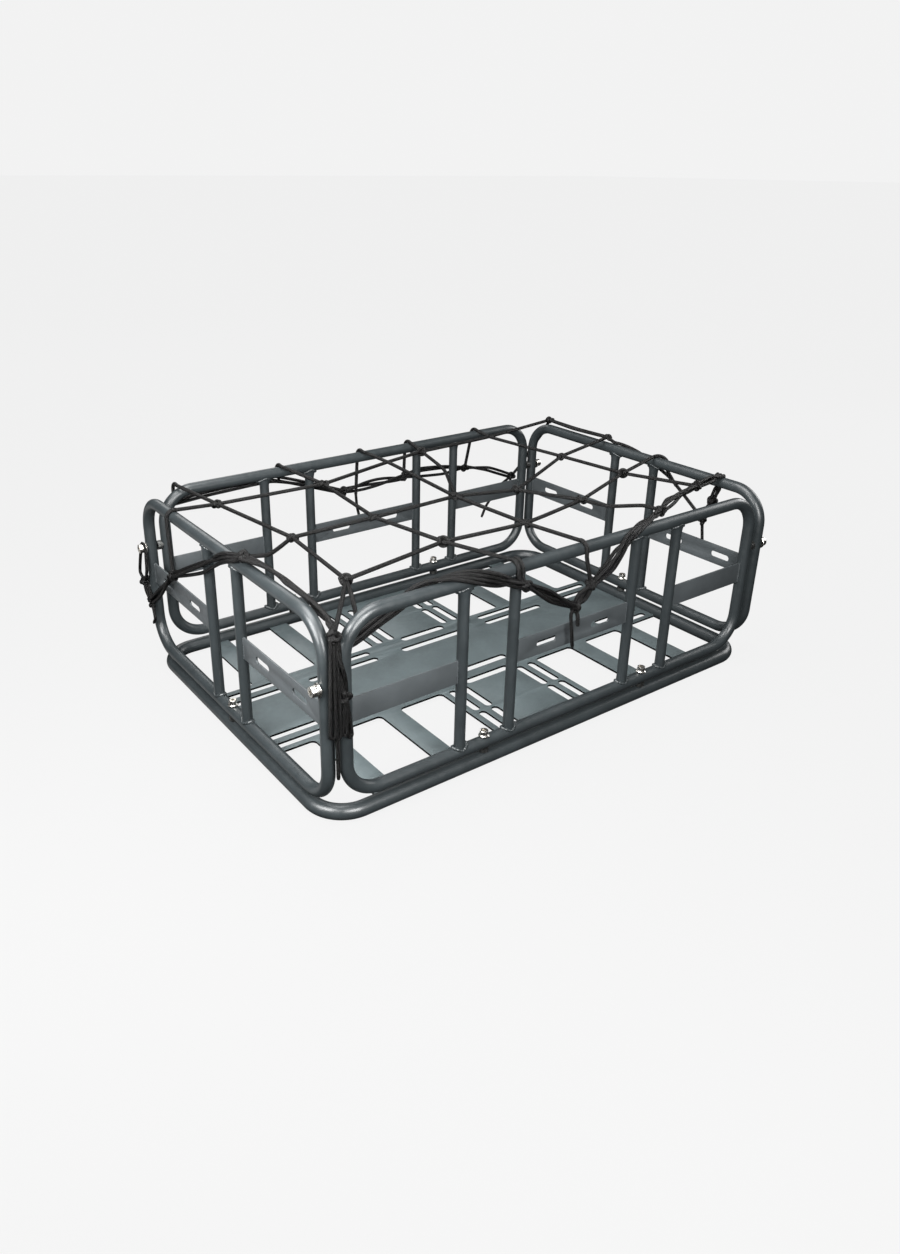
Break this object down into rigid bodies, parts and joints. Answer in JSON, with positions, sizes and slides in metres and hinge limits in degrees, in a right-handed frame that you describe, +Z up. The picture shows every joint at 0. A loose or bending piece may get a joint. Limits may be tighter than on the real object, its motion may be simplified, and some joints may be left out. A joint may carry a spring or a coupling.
{
  "type": "bicycle cargo basket",
  "caption": "Bolted tubular cargo basket for a carrier bicycle, with a slotted floor plate and a knotted elastic cord net stretched over its top.",
  "frame": {"origin": "middle of the base ring's footprint, on the ground under it", "axes": "+X along the long sides, +Y from the front panel to the rear one, +Z up out of the basket"},
  "size_m": [0.6044, 0.4146, 0.2206],
  "materials": {
    "tube_coat": "satin fine-grain powder coat, anthracite",
    "plate_coat": "satin fine-grain powder coat, anthracite",
    "strip_coat": "satin fine-grain powder coat, anthracite",
    "screw": "bright nickel plate, slightly worn",
    "insert": "dull turned steel",
    "net_cord": "matt braided black elastic cord"
  },
  "bodies": {
    "basket": {"base_insert_1": "insert", "base_insert_2": "insert", "base_insert_3": "insert", "base_insert_4": "insert", "base_insert_5": "insert", "base_insert_6": "insert", "base_plate": "plate_coat", "base_ring": "tube_coat", "base_screw_1": "screw", "base_screw_2": "screw", "base_screw_3": "screw", "base_screw_4": "screw", "base_screw_5": "screw", "base_screw_6": "screw", "corner_insert_1": "insert", "corner_insert_2": "insert", "corner_insert_3": "insert", "corner_insert_4": "insert", "corner_screw_1": "screw", "corner_screw_2": "screw", "corner_screw_3": "screw", "corner_screw_4": "screw", "front_ring": "tube_coat", "front_strip_1": "strip_coat", "front_strip_2": "strip_coat", "front_strip_3": "strip_coat", "front_upright_1": "tube_coat", "front_upright_2": "tube_coat", "front_upright_3": "tube_coat", "front_upright_4": "tube_coat", "left_ring": "tube_coat", "left_strip_1": "strip_coat", "left_strip_2": "strip_coat", "left_upright_1": "tube_coat", "left_upright_2": "tube_coat", "net_border": "net_cord", "net_corner_tie": "net_cord", "net_hitch_loop": "net_cord", "rear_ring": "tube_coat", "rear_strip_1": "strip_coat", "rear_strip_2": "strip_coat", "rear_strip_3": "strip_coat", "rear_upright_1": "tube_coat", "rear_upright_2": "tube_coat", "rear_upright_3": "tube_coat", "rear_upright_4": "tube_coat", "right_ring": "tube_coat", "right_strip_1": "strip_coat", "right_strip_2": "strip_coat", "right_upright_1": "tube_coat", "right_upright_2": "tube_coat"},
    "net": {"net_middle": "net_cord"}
  },
  "joints": [
    {"name": "net_lift", "type": "slide", "parent": "basket", "child": "net", "axis": [0, 0, 1], "range_m": [0, 0.1], "stiffness_N_per_m": 30, "springref_m": -0.02}
  ]
}
